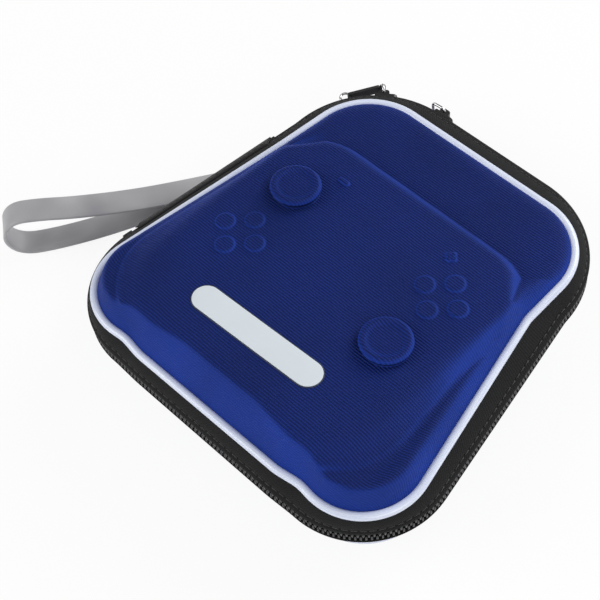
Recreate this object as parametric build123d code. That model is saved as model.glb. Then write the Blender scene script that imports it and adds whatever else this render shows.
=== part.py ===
"""Carrying case for a game controller: a zipped clamshell with a moulded lid.

Millimetres, +Z up. The case lies on its base, the origin is the middle of the flat
underside, +Y points from the handle end to the straight far edge, and the fabric
hinge and the hand strap are on the -X side.
"""

import math
import os

from build123d import *

# Closed case: heights above the floor and, for the tilted surfaces, rise per mm of Y
base_depth = 24.0
piping_rise = 9.0
piping_slope = -0.027
panel_rise = 15.4
panel_slope = -0.085
plateau_rise = 20.9
plateau_slope = -0.093
base_piping_drop = 9.0

# Half outlines, far edge first: corner x, corner y and corner radius
zip_half = [
    (65.0, 77.4, 40.0),
    (66.4, 38.0, 12.0),
    (84.5, -80.5, 33.5),
    (44.0, -80.5, 60.0),
    (33.0, -81.0, 60.0),
]
piping_half = [
    (57.6, 67.9, 25.5),
    (59.4, 24.0, 12.0),
    (79.6, -75.3, 25.6),
    (44.0, -75.3, 20.0),
    (33.0, -76.4, 20.0),
]
plateau_half = [
    (54.6, 37.0, 19.0),
    (54.2, -22.0, 60.0),
    (51.5, -66.5, 23.0),
]

# Walls and the moulded form
shell_wall = 3.0
seam_inset = 0.5
panel_shoulder = 5.0
plateau_shoulder = 3.4
plateau_sink = 1.0
base_shoulder = 12.0
band_wall = 1.6
band_bulge = 0.5
band_edge_inset = 0.3
seam_gap = 0.15
section_count = 4

# Raised relief on the lid
stick_radius = 9.6
stick_top_radius = 8.9
stick_height = 3.0
stick_round = 1.2
left_stick = (-34.4, 6.4)
right_stick = (34.4, -21.3)
button_radius = 3.5
button_height = 0.7
button_round = 0.4
button_spacing = 7.5
left_buttons = (-35.3, -21.5)
right_buttons = (35.3, 6.0)
mark_length = 4.2
mark_width = 1.3
mark_height = 0.5
minus_place = (-24.1, 20.9)
plus_place = (26.7, 21.3)
relief_root = 0.6

# Label patch
label_length = 57.0
label_width = 10.4
label_thickness = 0.4
label_place = (0.0, -48.6)
label_turn = 2.3

# Piping and seam tape
piping_radius = 1.6
groove_clearance = 0.05
binding_height = 6.0
binding_lift = 0.3
binding_thickness = 0.8
binding_clearance = 0.2

# Zipper
zip_half_gap = 0.45
coil_height = 2.6
coil_width = 1.8
coil_round = 0.6
coil_edge = 0.1
tape_clearance = 0.3
tape_thickness = 0.8
band_lift = 3.0
tape_reach = 0.35
stop_length = 4.0
stop_thickness = 0.9
stop_clearance = 0.2

# Fabric hinge on the left side
hinge_centre_y = -8.0
hinge_outboard = 2.2
spine_length = 62.0
spine_thickness = 1.0
spine_clearance = 0.5
spine_reach = 0.33
coil_end_gap = 1.0

# Sliders, their bails and pulls
slider_length = 9.0
slider_height = 5.2
plate_thickness = 1.2
plate_round = 1.3
plate_clearance = 0.4
inner_plate_length = 7.2
web_length = 4.5
web_thickness = 0.5
crown_length = 4.4
crown_height = 2.4
crown_reach = 3.0
crown_round = 1.2
pin_shift = 1.0
wire_radius = 0.6
wire_clearance = 0.15
bail_height = 5.6
bail_length = 5.6
left_bail_length = 3.4
bail_corner = 1.4
tab_length = 14.5
tab_width = 3.6
tab_thickness = 1.2
tab_round = 0.9
eye_radius = 1.2
eye_width = 2.2
eye_clearance = 0.2
ring_radius = 2.0
ring_wire = 0.5
right_slider_x = -25.5
left_slider_turn = 34.0
right_bail_angle = 184.0
left_bail_angle = 141.0
left_tab_angle = 238.0

# Hand strap and its tab
strap_width = 10.5
strap_thickness = 1.2
strap_heading = 232.7
tab_root = (-68.5, 9.4)
anchor_inside = 4.0
anchor_length = 9.0
anchor_height = 3.4
anchor_width = 13.0
anchor_round = 0.85
anchor_z = base_depth - 7.1
strap_route = [
    (0.3, anchor_z + 0.75),
    (14.0, 16.4),
    (36.0, 15.4),
    (59.0, 17.6),
    (72.0, 19.9),
    (83.7, 20.4),
    (89.4, 10.55),
    (83.7, 0.7),
    (69.0, 0.95),
    (46.0, 0.75),
    (24.0, 3.0),
    (9.0, 12.4),
    (0.5, anchor_z - 0.8),
]
bend_share = 0.45

# Pocket in the lid and elastic over the controller in the base
pocket_mouth_y = -8.0
pocket_lift = 5.0
pocket_thickness = 0.8
elastic_width = 3.5
elastic_thickness = 1.4
retainer_width = 22.0
retainer_y = -6.0
retainer_drop = 4.0
retainer_thickness = 1.2
lining_clearance = 0.3

far_mm = 400.0


def level(height, slope=0.0):
    """Sketch plane at a height, tilted about X."""
    return Plane(origin=(0, 0, height), x_dir=(1, 0, 0), z_dir=(0, -slope, 1))


def whole(half):
    """Corners of the closed outline, clockwise from the far right corner."""
    return list(half) + [(-x, y, r) for x, y, r in reversed(half)]


def blended(half_a, half_b, share):
    """Half outline part of the way from one outline to another."""
    pairs = zip(half_a, half_b)
    return [tuple(a + (b - a) * share for a, b in zip(one, two)) for one, two in pairs]


def outline(half, inset):
    """Closed wire of lines and arcs, set in by the inset, on the XY plane."""
    corners = whole(half)
    count = len(corners)
    points = [Vector(x, y) for x, y, _ in corners]
    along = [(points[(i + 1) % count] - points[i]).normalized() for i in range(count)]
    inward = [Vector(d.Y, -d.X) for d in along]
    edges = []
    starts, ends = [], []
    for i, (_, _, radius) in enumerate(corners):
        before, after = along[i - 1], along[i]
        turn = before.X * after.Y - before.Y * after.X
        cos_turn = before.dot(after)
        half_turn = math.acos(max(-1.0, min(1.0, cos_turn))) / 2
        shift = (inward[i - 1] + inward[i]) * (inset / (1 + cos_turn))
        corner = points[i] + shift
        bend = radius - inset if turn < 0 else radius + inset
        reach = bend * math.tan(half_turn)
        starts.append(corner - before * reach)
        ends.append(corner + after * reach)
        middle = (after - before).normalized() * (bend / math.cos(half_turn) - bend)
        edges.append(ThreePointArc(starts[i], corner + middle, ends[i]))
    sides = [Line(ends[i], starts[(i + 1) % count]) for i in range(count)]
    return Wire([edge for pair in zip(edges, sides) for edge in pair])


def section(half, inset, height, slope=0.0):
    """Face of the outline on a tilted plane."""
    return level(height, slope) * make_face(outline(half, inset))


def dome(half, inset, foot, top, shoulder):
    """Solid whose side curves in over the shoulder as it goes from foot to top.

    foot and top are each a height at y = 0 and a slope.
    """
    faces = []
    for step in range(section_count + 1):
        angle = math.radians(90 * step / section_count)
        rise = math.sin(angle)
        height = foot[0] + (top[0] - foot[0]) * rise
        slope = foot[1] + (top[1] - foot[1]) * rise
        step_inset = inset + shoulder * (1 - math.cos(angle))
        faces.append(section(half, step_inset, height, slope))
    return loft(faces)


def rim(levels, thickness):
    """Wall that follows the outline; levels are (half, outer inset, height, slope)."""
    outer = loft([section(h, i, z, s) for h, i, z, s in levels], ruled=True)
    inner = loft([section(h, i + thickness, z, s) for h, i, z, s in levels], ruled=True)
    return outer - inner


def bead(half, height, slope, radius):
    """Round cord that follows the outline."""
    path = level(height, slope) * outline(half, 0)
    return sweep(Plane(origin=path @ 0, z_dir=path % 0) * Circle(radius), path=path)


def on_plateau(place):
    """Plane on the raised top at an x, y place, with Z along its normal."""
    x, y = place
    top = base_depth + plateau_rise + plateau_slope * y
    return Plane(origin=(x, y, top), x_dir=(1, 0, 0), z_dir=(0, -plateau_slope, 1))


def bump(place, bottom_radius, top_radius, height, rounding):
    """Round raised button with a softened top edge."""
    on_foot = (Align.CENTER, Align.CENTER, Align.MIN)
    body = Cone(bottom_radius, top_radius, height + relief_root, align=on_foot)
    body = fillet(body.edges().sort_by(Axis.Z)[-1], rounding)
    return on_plateau(place) * Pos(0, 0, -relief_root) * body


def mark(place, turns):
    """Small raised minus or plus made of bars."""
    bar = extrude(SlotOverall(mark_length, mark_width), mark_height + relief_root)
    bars = [Rot(0, 0, turn) * bar for turn in turns]
    joined = bars[0] if len(bars) == 1 else bars[0] + bars[1]
    return on_plateau(place) * Pos(0, 0, -relief_root) * joined


def diamond(place):
    """Four low buttons round a centre."""
    x, y = place
    offsets = [(0, 1), (1, 0), (0, -1), (-1, 0)]
    places = [(x + button_spacing * a, y + button_spacing * b) for a, b in offsets]
    top_radius = button_radius - button_round / 2
    return [bump(p, button_radius, top_radius, button_height, button_round) for p in places]


def hinge_frame():
    """Plane at the hinge axis: X points out of the case, Y along the straight side."""
    (x_a, y_a, _), (x_b, y_b, _) = zip_half[1], zip_half[2]
    along = Vector(-(x_a - x_b), y_a - y_b).normalized()
    share = (y_a - hinge_centre_y) / (y_a - y_b)
    on_side = Vector(-(x_a + (x_b - x_a) * share), hinge_centre_y, base_depth)
    out = Vector(-along.Y, along.X)
    return Plane(origin=on_side + out * hinge_outboard, x_dir=out, z_dir=(0, 0, 1))


def hinge_block(length, start=0.0):
    """Tall box over a stretch of the hinge side, from start along the side."""
    depth = 4 * hinge_outboard + coil_width + tape_thickness
    block = Pos(-depth / 4, start, 0) * Box(depth, length, far_mm)
    return hinge_frame() * block


def side_levels(upward, inset, reach):
    """Levels of a wall at the zipper, from the zip gap up or down the band."""
    sign = 1 if upward else -1
    far_rise = piping_rise if upward else -base_piping_drop
    far_slope = piping_slope if upward else 0.0
    edge = base_depth + sign * band_lift
    height = edge + (base_depth + far_rise - edge) * reach
    return [
        (zip_half, inset, base_depth + sign * zip_half_gap, 0.0),
        (zip_half, inset, edge, 0.0),
        (blended(zip_half, piping_half, reach), inset, height, far_slope * reach),
    ]


def side_band(upward):
    """Fabric band between the zipper and the piping."""
    sign = 1 if upward else -1
    far_rise = piping_rise if upward else -base_piping_drop
    far_slope = piping_slope if upward else 0.0
    edge = base_depth + sign * band_lift
    seam = base_depth + far_rise - sign * seam_gap
    middle = blended(zip_half, piping_half, 0.5)
    levels = [
        (zip_half, band_edge_inset, edge, 0.0),
        (middle, band_edge_inset / 2 - band_bulge, (edge + seam) / 2, far_slope / 2),
        (piping_half, 0.0, seam, far_slope),
    ]
    return rim(levels, band_wall)


def zip_coil(upward):
    """Half of the zipper chain, a rail with a rounded outer edge."""
    sign = 1 if upward else -1
    middle = (zip_half_gap + coil_height) / 2
    profile = [(zip_half_gap, coil_edge), (middle, 0.0), (coil_height, coil_round)]
    places = [(base_depth + sign * z, inset) for z, inset in profile]
    outer = loft([section(zip_half, inset, z) for z, inset in places], ruled=True)
    inner = loft([section(zip_half, coil_width, z) for z, _ in places], ruled=True)
    return (outer - inner) - hinge_block(spine_length + 2 * coil_end_gap)


def zip_tape(upward):
    """Woven tape behind the coil, sewn inside the band."""
    levels = side_levels(upward, coil_width + tape_clearance, tape_reach)
    return rim(levels, tape_thickness) - hinge_block(spine_length + 2 * coil_end_gap)


def zip_stops(upward):
    """The two stops at the ends of one half of the zipper."""
    sign = 1 if upward else -1
    low, high = base_depth + sign * zip_half_gap, base_depth + sign * coil_height
    inset = -stop_clearance - stop_thickness
    ring = rim([(zip_half, inset, z, 0.0) for z in (low, high)], stop_thickness)
    offset = spine_length / 2 + coil_end_gap + stop_length / 2
    return [ring & hinge_block(stop_length, start) for start in (-offset, offset)]


def hinge_spine():
    """Fabric strip that joins the two bands and bends as the lid opens."""
    inset = -spine_thickness - spine_clearance
    lower = side_levels(False, inset, spine_reach)
    upper = side_levels(True, inset, spine_reach)
    levels = [lower[2], lower[1], upper[1], upper[2]]
    return rim(levels, spine_thickness) & hinge_block(spine_length)


def lid_shell():
    """Moulded panel with the raised outline of a controller, open underneath."""
    seam = (base_depth + piping_rise, piping_slope)
    panel = (base_depth + panel_rise, panel_slope)
    plateau = (base_depth + plateau_rise, plateau_slope)
    solid = dome(piping_half, seam_inset, seam, panel, panel_shoulder)
    foot = (panel[0] - plateau_sink, panel[1])
    solid += dome(plateau_half, -plateau_shoulder, foot, plateau, plateau_shoulder)
    hollow_panel = (panel[0] - shell_wall, panel[1])
    hollow_plateau = (plateau[0] - shell_wall, plateau[1])
    hollow_foot = (seam[0] - 2 * shell_wall, seam[1])
    hollow = dome(piping_half, seam_inset + shell_wall, hollow_foot, hollow_panel, panel_shoulder)
    low_foot = (hollow_panel[0] - plateau_sink, hollow_panel[1])
    hollow += dome(plateau_half, shell_wall - plateau_shoulder, low_foot, hollow_plateau, plateau_shoulder)
    solid -= hollow
    for place in (left_stick, right_stick):
        solid += bump(place, stick_radius, stick_top_radius, stick_height, stick_round)
    for place in (left_buttons, right_buttons):
        for button in diamond(place):
            solid += button
    solid += mark(minus_place, [0])
    solid += mark(plus_place, [0, 90])
    return solid


def base_shell():
    """Moulded tray with a flat underside."""
    seam = (base_depth - base_piping_drop, 0.0)
    solid = dome(piping_half, seam_inset, seam, (0.0, 0.0), base_shoulder)
    return solid - dome(piping_half, seam_inset + shell_wall, seam, (shell_wall, 0.0), base_shoulder)


def seam_binding(upward):
    """Tape over the seam between shell and band, on the inside."""
    rise = piping_rise if upward else -base_piping_drop
    slope = piping_slope if upward else 0.0
    toward_zip = -1 if upward else 1
    near = base_depth + rise + toward_zip * binding_lift
    heights = [near, near + toward_zip * binding_height]
    inset = band_wall + binding_clearance
    return rim([(piping_half, inset, z, slope) for z in heights], binding_thickness)


def label_patch():
    """Plain stadium-shaped bar on the raised top."""
    bar = extrude(SlotOverall(label_length, label_width), label_thickness)
    return on_plateau(label_place) * Rot(0, 0, label_turn) * bar


def cross_sheet(y_from, y_to, height, thickness):
    """Flat piece that spans the inside of the case between two values of y."""
    inset = band_wall + binding_clearance + binding_thickness + lining_clearance
    sheet = extrude(make_face(outline(piping_half, inset)), thickness)
    keep = Pos(0, (y_from + y_to) / 2, 0) * Box(far_mm, y_to - y_from, far_mm)
    return Pos(0, 0, height) * (sheet & keep)


def mesh_pocket():
    """Net panel across the handle half of the lid."""
    height = base_depth + pocket_lift
    return cross_sheet(pocket_mouth_y - far_mm, pocket_mouth_y, height, pocket_thickness)


def pocket_elastic():
    """Elastic binding along the mouth of the pocket."""
    bottom = base_depth + pocket_lift + (pocket_thickness - elastic_thickness) / 2
    return cross_sheet(pocket_mouth_y, pocket_mouth_y + elastic_width, bottom, elastic_thickness)


def retaining_strap():
    """Elastic band over the controller, from side to side of the base."""
    bottom = base_depth - retainer_drop - retainer_thickness
    half_width = retainer_width / 2
    near, far = retainer_y - half_width, retainer_y + half_width
    return cross_sheet(near, far, bottom, retainer_thickness)


def slider_body():
    """Slider with the zipper's outer edge at y = 0, X along the zipper and Y outward."""
    outer_y = plate_clearance + plate_thickness / 2
    inner_y = -(coil_width + tape_clearance + tape_thickness + plate_clearance + plate_thickness / 2)
    outer = Pos(0, outer_y, 0) * Box(slider_length, plate_thickness, slider_height)
    outer = fillet(outer.edges().filter_by(Axis.Y), plate_round)
    inner = Pos(0, inner_y, 0) * Box(inner_plate_length, plate_thickness, slider_height)
    inner = fillet(inner.edges().filter_by(Axis.Y), plate_round)
    web = Pos(0, (outer_y + inner_y) / 2, 0) * Box(web_length, outer_y - inner_y, web_thickness)
    face_y = plate_clearance + plate_thickness
    crown_place = Pos(-pin_shift, face_y + crown_reach / 2, 0)
    crown = crown_place * Box(crown_length, crown_reach, crown_height)
    crown = fillet(crown.edges().filter_by(Axis.Z).sort_by(Axis.Y)[-2:], crown_round)
    hole = Pos(-pin_shift, pin_offset(), 0) * Cylinder(wire_radius + wire_clearance, far_mm)
    return outer + inner + web + crown - hole


def pin_offset():
    """Distance of the bail's pin outside the zipper edge."""
    return plate_clearance + plate_thickness + crown_reach / 2


def bail(length):
    """Wire loop with its pin on the Z axis and its far bar on +X."""
    frame = Plane(origin=(length / 2, 0, 0), x_dir=(1, 0, 0), z_dir=(0, -1, 0))
    loop = (frame * RectangleRounded(length, bail_height, bail_corner)).wire()
    return sweep(Plane(origin=loop @ 0, z_dir=loop % 0) * Circle(wire_radius), path=loop)


def pull_tab():
    """Tab with an eye on the Z axis and its free end on +X."""
    eye = Cylinder(eye_radius, eye_width)
    strip_start = (eye_radius + wire_radius) / 2 + eye_clearance
    strip_length = tab_length - strip_start
    strip = Pos(strip_start + strip_length / 2, 0, 0) * Box(strip_length, tab_thickness, tab_width)
    strip = fillet(strip.edges().filter_by(Axis.Y), tab_round)
    eye_hole = Cylinder(wire_radius + eye_clearance, far_mm)
    ring_hole = Rot(90, 0, 0) * Cylinder(ring_wire + wire_clearance, far_mm)
    return eye + strip - eye_hole - Pos(tab_length - ring_radius / 2, 0, 0) * ring_hole


def pull_ring():
    """Small ring through the free end of the tab."""
    return Pos(tab_length + ring_radius / 2, 0, 0) * Torus(ring_radius, ring_wire)


def turned(point, angle):
    """Place at a point with +X turned to an angle about Z."""
    return Pos(*point) * Rot(0, 0, angle)


def corner_centre():
    """Centre of the far left corner arc of the zipper."""
    arc_start = outline(zip_half, 0).edges()[0]
    centre = arc_start.arc_center
    return Vector(-centre.X, centre.Y, base_depth)


def polar(centre, radius, angle):
    """Point at a radius and an angle from +X about a centre."""
    turn = math.radians(angle)
    return centre + Vector(math.cos(turn), math.sin(turn)) * radius


def sliders():
    """Both sliders with their bails, tabs and rings, by node name."""
    parts = {}
    right_edge = Vector(right_slider_x, zip_half[0][1], base_depth)
    parts["right_slider"] = turned(right_edge, 0) * slider_body()
    right_pin = right_edge + Vector(-pin_shift, pin_offset())
    parts["right_bail"] = turned(right_pin, right_bail_angle) * bail(bail_length)
    right_hook = polar(right_pin, bail_length / 2, right_bail_angle) - Vector(0, 0, bail_height / 2)
    hanging = turned(right_hook, right_bail_angle) * Rot(0, 90, 0)
    parts["right_pull_tab"] = hanging * pull_tab()
    parts["right_pull_ring"] = hanging * pull_ring()

    centre = corner_centre()
    facing = 90 + left_slider_turn
    left_edge = polar(centre, zip_half[0][2], facing)
    parts["left_slider"] = turned(left_edge, left_slider_turn) * slider_body()
    left_pin = polar(left_edge, pin_offset(), facing)
    left_pin = polar(left_pin, pin_shift, facing + 90)
    parts["left_bail"] = turned(left_pin, left_bail_angle) * bail(left_bail_length)
    left_hook = polar(left_pin, left_bail_length, left_bail_angle)
    parts["left_pull_tab"] = turned(left_hook, left_tab_angle) * pull_tab()
    parts["left_pull_ring"] = turned(left_hook, left_tab_angle) * pull_ring()
    print("corner centre", centre, "left pin", left_pin, "left hook", left_hook)
    print("right pin", right_pin, "right hook", right_hook)
    return parts


def strap_plane():
    """Upright plane of the strap: X away from the case, Y up, from the floor under the tab."""
    start = polar(Vector(*tab_root), anchor_length, strap_heading)
    heading = polar(Vector(0, 0), 1, strap_heading)
    return Plane(origin=start, x_dir=heading, z_dir=heading.cross(Vector(0, 0, 1)))


def bend_radii(points):
    """Largest arc that each corner's two runs allow."""
    radii = []
    for before, corner, after in zip(points, points[1:], points[2:]):
        run_in, run_out = Vector(*corner) - Vector(*before), Vector(*after) - Vector(*corner)
        turn = math.radians(run_in.get_angle(run_out))
        radii.append(bend_share * min(run_in.length, run_out.length) / math.tan(turn / 2))
    return radii


def hand_strap():
    """Ribbon folded back on itself, lying on the floor."""
    frame = strap_plane()
    path = (frame * FilletPolyline(*strap_route, radius=bend_radii(strap_route))).wire()
    print("strap length", round(path.length, 1))
    start = Plane(origin=path @ 0, x_dir=frame.z_dir, z_dir=path % 0)
    return sweep(start * Rectangle(strap_width, strap_thickness), path=path)


def strap_anchor(band, piping_cut):
    """Stitched tab that holds both ends of the strap."""
    length = anchor_length + anchor_inside
    frame = strap_plane()
    block = Pos(-length / 2, anchor_z, 0) * Box(length, anchor_height, anchor_width)
    block = fillet(block.edges().filter_by(Axis.X), anchor_round)
    block = frame * block
    inside = loft([section(h, i - groove_clearance, z, s) for h, i, z, s in band], ruled=True)
    return block - inside - piping_cut


def base_side_levels():
    """Outer levels of the base band, from the piping up to its edge."""
    seam = base_depth - base_piping_drop
    edge = base_depth - band_lift
    middle = blended(zip_half, piping_half, 0.5)
    return [
        (piping_half, 0.0, seam - piping_radius, 0.0),
        (piping_half, 0.0, seam + seam_gap, 0.0),
        (middle, band_edge_inset / 2 - band_bulge, (edge + seam) / 2, 0.0),
        (zip_half, band_edge_inset, edge, 0.0),
    ]


def build_parts():
    """Every node of the case, by name."""
    lid_seam = (base_depth + piping_rise, piping_slope)
    base_seam = (base_depth - base_piping_drop, 0.0)
    lid_groove = bead(piping_half, *lid_seam, piping_radius + groove_clearance)
    base_groove = bead(piping_half, *base_seam, piping_radius + groove_clearance)
    parts = {
        "lid_shell": lid_shell() - lid_groove,
        "lid_piping": bead(piping_half, *lid_seam, piping_radius),
        "lid_side_band": side_band(True) - lid_groove,
        "lid_seam_binding": seam_binding(True),
        "lid_zip_tape": zip_tape(True),
        "lid_zip_coil": zip_coil(True),
        "lid_zip_stops": zip_stops(True),
        "label_patch": label_patch(),
        "mesh_pocket": mesh_pocket(),
        "pocket_elastic": pocket_elastic(),
        "base_shell": base_shell() - base_groove,
        "base_piping": bead(piping_half, *base_seam, piping_radius),
        "base_side_band": side_band(False) - base_groove,
        "base_seam_binding": seam_binding(False),
        "base_zip_tape": zip_tape(False),
        "base_zip_coil": zip_coil(False),
        "base_zip_stops": zip_stops(False),
        "hinge_spine": hinge_spine(),
        "retaining_strap": retaining_strap(),
        "strap_anchor_tab": strap_anchor(base_side_levels(), base_groove),
        "hand_strap": hand_strap(),
    }
    parts.update(sliders())
    return parts


os.makedirs("parts", exist_ok=True)
axis_frame = hinge_frame()
print("hinge axis point", axis_frame.origin, "direction", axis_frame.y_dir)
for node, shape in build_parts().items():
    pieces = shape if isinstance(shape, list) else [shape]
    solids = [solid for piece in pieces for solid in piece.solids()]
    export_step(solids[0] if len(solids) == 1 else Compound(solids), f"parts/{node}.step")
    print(node, len(solids))
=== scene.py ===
import math
from functools import partial

import bmesh
import bpy
import numpy as np
from mathutils import Matrix, Vector, noise


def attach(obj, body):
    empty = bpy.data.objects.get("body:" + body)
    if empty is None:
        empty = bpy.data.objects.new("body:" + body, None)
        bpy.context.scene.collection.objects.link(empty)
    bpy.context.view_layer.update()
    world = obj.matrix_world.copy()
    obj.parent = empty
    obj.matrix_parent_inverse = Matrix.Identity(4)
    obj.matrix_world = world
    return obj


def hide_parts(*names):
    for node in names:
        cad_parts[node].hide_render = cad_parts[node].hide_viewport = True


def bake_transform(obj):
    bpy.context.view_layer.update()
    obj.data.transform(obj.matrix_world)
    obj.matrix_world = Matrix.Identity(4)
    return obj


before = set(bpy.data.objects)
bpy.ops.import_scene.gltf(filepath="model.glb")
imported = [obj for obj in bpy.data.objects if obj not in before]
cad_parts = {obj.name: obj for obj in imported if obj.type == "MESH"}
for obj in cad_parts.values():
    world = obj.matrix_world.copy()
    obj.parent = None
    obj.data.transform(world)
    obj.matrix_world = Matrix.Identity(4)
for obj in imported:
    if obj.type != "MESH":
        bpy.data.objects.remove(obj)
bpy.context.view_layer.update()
mm = 0.001
zipPlane = 24.0  # height of the zipper's middle above the floor, mm
halves = (("lid", True), ("base", False))
print("case: frame loaded")

# helpers for nodes


def feed(tree, value, socket):
    # a plain value, or a link from another node
    if isinstance(value, bpy.types.NodeSocket):
        tree.links.new(value, socket)
    else:
        socket.default_value = (*value, 1) if socket.type == "RGBA" else value


def addNode(tree, kind, **values):
    node = tree.nodes.new("ShaderNode" + kind)
    for label, value in values.items():
        feed(tree, value, node.inputs[label.replace("_", " ")])
    return node


def mathNode(tree, operation, *values):
    node = addNode(tree, "Math")
    node.operation = operation
    for socket, value in zip(node.inputs, values):
        feed(tree, value, socket)
    return node.outputs[0]


def noiseNode(tree, vector, scale, detail=2.0, rough=0.5):
    node = addNode(tree, "TexNoise", Vector=vector, Scale=scale, Detail=detail, Roughness=rough)
    return node.outputs["Fac"]


# helpers for objects and meshes


def link(obj):
    bpy.context.scene.collection.objects.link(obj)
    return obj


def meshObject(name, bm):
    mesh = bpy.data.meshes.new(name)
    bm.to_mesh(mesh)
    bm.free()
    mesh.shade_smooth()
    return link(bpy.data.objects.new(name, mesh))


def addPiece(name, bm, body, slot, finish, *replaced):
    obj = meshObject(name, bm)
    if body:  # a piece with no body, such as the one across the joint, is left unattached
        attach(obj, body)
    obj.data.materials.append(finishes[finish])
    if replaced:
        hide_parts(*replaced)
    return obj


def skinRings(rings, closeProfile=False):
    # one closed loop of points after another, each made by extruding the last one
    bm = bmesh.new()
    layer = bm.loops.layers.uv.new("UVMap")
    count = len(rings[0])
    verts = [bm.verts.new(p) for p in rings[0]]
    place = {v: (0, i) for i, v in enumerate(verts)}
    edges = [bm.edges.new((verts[i - 1], verts[i])) for i in range(count)]
    firstEdges = list(edges)
    for k, ring in enumerate(rings[1:], 1):
        made = bmesh.ops.extrude_edge_only(bm, edges=edges)["geom"]
        fresh = [g for g in made if isinstance(g, bmesh.types.BMVert)]
        edges = [g for g in made if isinstance(g, bmesh.types.BMEdge) and all(v in fresh for v in g.verts)]
        for vert in fresh:
            beside = [place.get(edge.other_vert(vert), (-1, -1)) for edge in vert.link_edges]
            place[vert] = (k, next(i for row, i in beside if row == k - 1))
        for vert in fresh:
            vert.co = ring[place[vert][1]]
    along = [0.0]
    middle = rings[len(rings) // 2]
    for i in range(1, count + 1):
        along.append(along[-1] + (middle[i % count] - middle[i - 1]).length)
    across = [0.0]
    for one, two in zip(rings, rings[1:]):
        across.append(across[-1] + (two[0] - one[0]).length)
    if closeProfile:
        bmesh.ops.bridge_loops(bm, edges=firstEdges + edges)
        across.append(across[-1] + (rings[0][0] - rings[-1][0]).length)
    for face in bm.faces:
        spots = [place[loop.vert] for loop in face.loops]
        wraps = {0, count - 1} <= {i for _, i in spots}
        turns = closeProfile and {0, len(rings) - 1} <= {k for k, _ in spots}
        for loop, (k, i) in zip(face.loops, spots):
            u = along[count if wraps and i == 0 else i]
            v = across[len(rings) if turns and k == 0 else k]
            loop[layer].uv = (u, v)
    if not closeProfile:
        for end in (edges, firstEdges):
            bmesh.ops.contextual_create(bm, geom=end)
    bmesh.ops.recalc_face_normals(bm, faces=bm.faces)
    return bm


def addMesh(bm, other):
    spare = bpy.data.meshes.new("spare")
    other.to_mesh(spare)
    other.free()
    bm.from_mesh(spare)
    bpy.data.meshes.remove(spare)


# camera, lamps, floor

shot = {
    "lens": 81.28,
    "place": (190.418, -181.027, 445.502),
    "right": (0.72158206, 0.68772766, -0.07968693),
    "up": (-0.56027092, 0.64767944, 0.51634082),
    "back": (0.40671345, -0.327936, 0.85266767),
}
lamps = {
    "backSoftbox": {"place": (0.2, 1.0, 0.6), "size": 0.8, "watts": 9.0},
    "leftSoftbox": {"place": (-0.7, -0.9, 0.7), "size": 0.9, "watts": 8.0},
    "rightSoftbox": {"place": (0.9, -0.3, 0.65), "size": 0.8, "watts": 4.5},
}
studio = {
    "ambient": 0.30,
    "white": (1, 1, 1),
    "floorColour": (0.95, 0.95, 0.95),
    "floorGlow": 0.90,
    "floorHeight": -0.0003,
    "floorReach": 3.0,
}


def placeCamera():
    data = bpy.data.cameras.new("caseCamera")
    data.lens = shot["lens"]
    data.sensor_width = 36
    camera = link(bpy.data.objects.new("caseCamera", data))
    turn = Matrix([shot["right"], shot["up"], shot["back"]]).transposed().to_4x4()
    camera.matrix_world = Matrix.Translation(Vector(shot["place"]) * mm) @ turn
    bpy.context.scene.camera = camera


def placeLamps():
    for name, lamp in lamps.items():
        data = bpy.data.lights.new(name, "AREA")
        data.size = lamp["size"]
        data.energy = lamp["watts"]
        obj = link(bpy.data.objects.new(name, data))
        obj.location = lamp["place"]
        obj.rotation_mode = "QUATERNION"
        obj.rotation_quaternion = (-Vector(lamp["place"])).to_track_quat("-Z", "Y")


def emptyTree(owner):
    owner.use_nodes = True
    owner.node_tree.nodes.clear()
    return owner.node_tree


def mixShaders(tree, share, first, second, output):
    mix = addNode(tree, "MixShader")
    for socket, value in zip(mix.inputs, (share, first.outputs[0], second.outputs[0])):
        tree.links.new(value, socket)
    tree.links.new(mix.outputs[0], addNode(tree, output).inputs["Surface"])


def placeStudio():
    # the camera sees white, and the pieces see a dimmer room
    bpy.context.scene.view_settings.view_transform = "Standard"
    world = bpy.data.worlds.new("studioWorld")
    bpy.context.scene.world = world
    tree = emptyTree(world)
    rays = addNode(tree, "LightPath").outputs
    share = mathNode(tree, "MAXIMUM", rays["Is Camera Ray"], rays["Is Transmission Ray"])
    soft = addNode(tree, "Background", Color=studio["white"], Strength=studio["ambient"])
    bright = addNode(tree, "Background", Color=studio["white"], Strength=1.0)
    mixShaders(tree, share, soft, bright, "OutputWorld")

    bm = bmesh.new()
    bmesh.ops.create_grid(bm, x_segments=1, y_segments=1, size=studio["floorReach"])
    bmesh.ops.translate(bm, verts=bm.verts, vec=(0, 0, studio["floorHeight"]))
    floor = meshObject("studioFloor", bm)
    paper = bpy.data.materials.new("palePaper")
    tree = emptyTree(paper)
    rays = addNode(tree, "LightPath").outputs
    share = mathNode(tree, "MULTIPLY", rays["Is Camera Ray"], studio["floorGlow"])
    matte = addNode(tree, "BsdfDiffuse", Color=studio["floorColour"])
    glow = addNode(tree, "Emission", Color=studio["white"])
    mixShaders(tree, share, matte, glow, "OutputMaterial")
    floor.data.materials.append(paper)


# outlines of the seams and of the raised gamepad, mm


def mirrored(half):
    return half + [(-x, y, r) for x, y, r in reversed(half)]


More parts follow.
